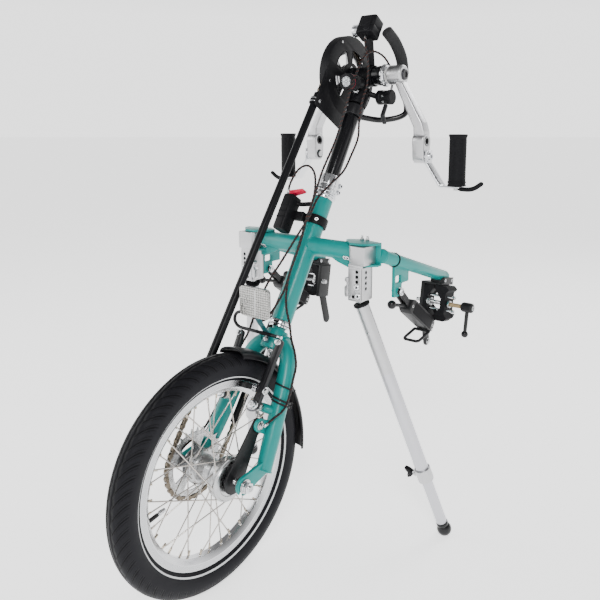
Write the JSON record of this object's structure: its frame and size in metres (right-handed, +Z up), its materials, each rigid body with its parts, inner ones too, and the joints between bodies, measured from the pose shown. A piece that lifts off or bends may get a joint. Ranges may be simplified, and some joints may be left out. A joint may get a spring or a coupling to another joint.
{
  "type": "handcycle attachment",
  "caption": "Clip-on handcycle front end: braked spoked wheel, chain-driven hand cranks, telescopic stand legs and arms with screw clamps that grip a wheelchair frame.",
  "frame": {"origin": "where the tyre touches the floor, under the wheel's centre", "axes": "+Z up, -Y the way it rolls, +X the rider's left"},
  "size_m": [0.5386, 0.7365, 0.9998],
  "materials": {
    "tyre": "matt",
    "paint": "gloss powder coat",
    "satin_aluminium": "satin anodised",
    "steel": "satin",
    "chrome": "polished",
    "black_steel": "satin powder coat",
    "black_alloy": "satin anodised",
    "black_plastic": "matt",
    "red_plastic": "gloss",
    "rubber": "matt",
    "foam": "matt foam",
    "reflector": "prismatic",
    "lens": "clear",
    "cable": "satin"
  },
  "bodies": {
    "frame": {"frame": "paint", "headset_lower_cup": "chrome", "headset_upper_cup": "chrome", "parking_lever_body": "black_plastic", "stand_block_left": "satin_aluminium", "stand_leg_left": "satin_aluminium", "clamp_body_left": "black_alloy", "clamp_jaw_inner_left": "rubber", "stand_block_right": "satin_aluminium", "stand_leg_right": "satin_aluminium", "clamp_body_right": "black_alloy", "clamp_jaw_inner_right": "rubber"},
    "steered": {"fork": "paint", "hub_axle": "steel", "clamp_ring": "chrome", "crank_column": "black_alloy", "chain_guard": "black_plastic", "chain_tube_front": "black_plastic", "chain_tube_rear": "black_plastic", "chain": "steel", "torque_arm": "black_steel", "mudguard": "black_plastic", "reflector": "reflector", "headlight_clamp": "black_plastic", "hand_rest": "foam", "gear_selector": "black_plastic", "brake_lever_body": "black_plastic", "brake_noodle": "black_plastic", "brake_cable": "cable", "gear_cable": "cable", "parking_cable": "cable"},
    "wheel": {"tyre": "tyre", "rim": "satin_aluminium", "hub_shell": "satin_aluminium"},
    "sprocket": {"sprocket": "steel"},
    "crankset": {"crank_axle": "chrome", "chainring": "satin_aluminium", "crank_left": "satin_aluminium", "crank_right": "satin_aluminium"},
    "pedal_left": {"pedal_bracket_left": "chrome"},
    "pedal_right": {"pedal_bracket_right": "chrome"},
    "grip_left": {"grip_left": "rubber"},
    "grip_right": {"grip_right": "rubber"},
    "brake_arm_left": {"brake_arm_left": "black_alloy"},
    "brake_arm_right": {"brake_arm_right": "black_alloy"},
    "brake_lever": {"brake_lever": "black_alloy"},
    "gear_dial": {"gear_dial": "chrome"},
    "headlight": {"headlight": "black_plastic", "headlight_lens": "lens"},
    "parking_latch": {"parking_latch": "red_plastic"},
    "stand_foot_left": {"stand_foot_left": "satin_aluminium"},
    "clamp_slider_left": {"clamp_jaw_outer_left": "rubber"},
    "clamp_screw_left": {"clamp_screw_left": "chrome"},
    "toggle_left": {"toggle_left": "black_plastic"},
    "toggle_bail_left": {"toggle_bail_left": "black_steel"},
    "stand_foot_right": {"stand_foot_right": "satin_aluminium"},
    "clamp_slider_right": {"clamp_jaw_outer_right": "rubber"},
    "clamp_screw_right": {"clamp_screw_right": "chrome"},
    "toggle_right": {"toggle_right": "black_plastic"},
    "toggle_bail_right": {"toggle_bail_right": "black_steel"}
  },
  "joints": [
    {"name": "steering", "type": "hinge", "parent": "frame", "child": "steered", "pos_m": [0, 0.03422, 0.18268], "axis": [0, 0.5105, 0.8599], "range_deg": [-30, 18], "deforming": ["parking_cable"]},
    {"name": "wheel_spin", "type": "hinge", "parent": "steered", "child": "wheel", "pos_m": [0, 0, 0.203], "axis": [1, 0, 0], "continuous": true},
    {"name": "crank_spin", "type": "hinge", "parent": "steered", "child": "crankset", "pos_m": [0, 0.44869, 0.88073], "axis": [1, 0, 0], "continuous": true, "deforming": ["chain"]},
    {"name": "sprocket_spin", "type": "hinge", "parent": "steered", "child": "sprocket", "pos_m": [0, 0, 0.203], "axis": [1, 0, 0], "continuous": true},
    {"name": "pedal_left_swivel", "type": "hinge", "parent": "crankset", "child": "pedal_left", "pos_m": [0.155, 0.44869, 0.72073], "axis": [1, 0, 0], "continuous": true},
    {"name": "grip_left_spin", "type": "hinge", "parent": "pedal_left", "child": "grip_left", "pos_m": [0.212, 0.44869, 0.71073], "axis": [0, 0, 1], "continuous": true},
    {"name": "pedal_right_swivel", "type": "hinge", "parent": "crankset", "child": "pedal_right", "pos_m": [-0.155, 0.44869, 0.72073], "axis": [1, 0, 0], "continuous": true},
    {"name": "grip_right_spin", "type": "hinge", "parent": "pedal_right", "child": "grip_right", "pos_m": [-0.212, 0.44869, 0.71073], "axis": [0, 0, 1], "continuous": true},
    {"name": "brake_arm_left_pivot", "type": "hinge", "parent": "steered", "child": "brake_arm_left", "pos_m": [0.04, 0.06279, 0.31109], "axis": [0, -0.8599, 0.5105], "range_deg": [0, 2]},
    {"name": "brake_arm_right_pivot", "type": "hinge", "parent": "steered", "child": "brake_arm_right", "pos_m": [-0.04, 0.06279, 0.31109], "axis": [0, 0.8599, -0.5105], "range_deg": [0, 2]},
    {"name": "brake_lever_pull", "type": "hinge", "parent": "steered", "child": "brake_lever", "pos_m": [0.052, 0.45169, 0.83773], "axis": [1, 0, 0], "range_deg": [0, 20]},
    {"name": "gear_dial_turn", "type": "hinge", "parent": "steered", "child": "gear_dial", "pos_m": [-0.0118, 0.43465, 0.97068], "axis": [1, 0, 0], "range_deg": [-70, 70]},
    {"name": "headlight_tilt", "type": "hinge", "parent": "steered", "child": "headlight", "pos_m": [0.01, 0.39729, 0.84943], "axis": [1, 0, 0], "range_deg": [-12, 12]},
    {"name": "parking_latch_lift", "type": "hinge", "parent": "frame", "child": "parking_latch", "pos_m": [-0.058, 0.2761, 0.64881], "axis": [0, -0.8599, 0.5105], "range_deg": [0, 50]},
    {"name": "stand_left_slide", "type": "slide", "parent": "frame", "child": "stand_foot_left", "axis": [-0.2525, -0.2341, 0.9388], "range_m": [0, 0.09]},
    {"name": "clamp_left_slide", "type": "slide", "parent": "frame", "child": "clamp_slider_left", "axis": [1, 0, 0], "range_m": [-0.004, 0.012]},
    {"name": "clamp_left_screw", "type": "hinge", "parent": "clamp_slider_left", "child": "clamp_screw_left", "pos_m": [0.2, 0.47137, 0.42345], "axis": [1, 0, 0], "range_deg": [-360, 1080]},
    {"name": "toggle_left_swing", "type": "hinge", "parent": "frame", "child": "toggle_left", "pos_m": [0.162, 0.32156, 0.47693], "axis": [1, 0, 0], "range_deg": [-30, 0]},
    {"name": "toggle_left_bail_swing", "type": "hinge", "parent": "toggle_left", "child": "toggle_bail_left", "pos_m": [0.162, 0.41763, 0.37654], "axis": [1, 0, 0], "range_deg": [-20, 20]},
    {"name": "stand_right_slide", "type": "slide", "parent": "frame", "child": "stand_foot_right", "axis": [0.2525, -0.2341, 0.9388], "range_m": [0, 0.09]},
    {"name": "clamp_right_slide", "type": "slide", "parent": "frame", "child": "clamp_slider_right", "axis": [-1, 0, 0], "range_m": [-0.004, 0.012]},
    {"name": "clamp_right_screw", "type": "hinge", "parent": "clamp_slider_right", "child": "clamp_screw_right", "pos_m": [-0.2, 0.47137, 0.42345], "axis": [-1, 0, 0], "range_deg": [-360, 1080]},
    {"name": "toggle_right_swing", "type": "hinge", "parent": "frame", "child": "toggle_right", "pos_m": [-0.162, 0.32156, 0.47693], "axis": [1, 0, 0], "range_deg": [-30, 0]},
    {"name": "toggle_right_bail_swing", "type": "hinge", "parent": "toggle_right", "child": "toggle_bail_right", "pos_m": [-0.162, 0.41763, 0.37654], "axis": [1, 0, 0], "range_deg": [-20, 20]}
  ],
  "couplings": [
    {"joint": "sprocket_spin", "follows": "crank_spin", "ratio": 1},
    {"joint": "brake_arm_right_pivot", "follows": "brake_arm_left_pivot", "ratio": 1},
    {"joint": "brake_lever_pull", "follows": "brake_arm_left_pivot", "ratio": 10},
    {"joint": "clamp_left_screw", "follows": "clamp_left_slide", "rad_per_m": 1570.8},
    {"joint": "clamp_right_screw", "follows": "clamp_right_slide", "rad_per_m": 1570.8}
  ]
}
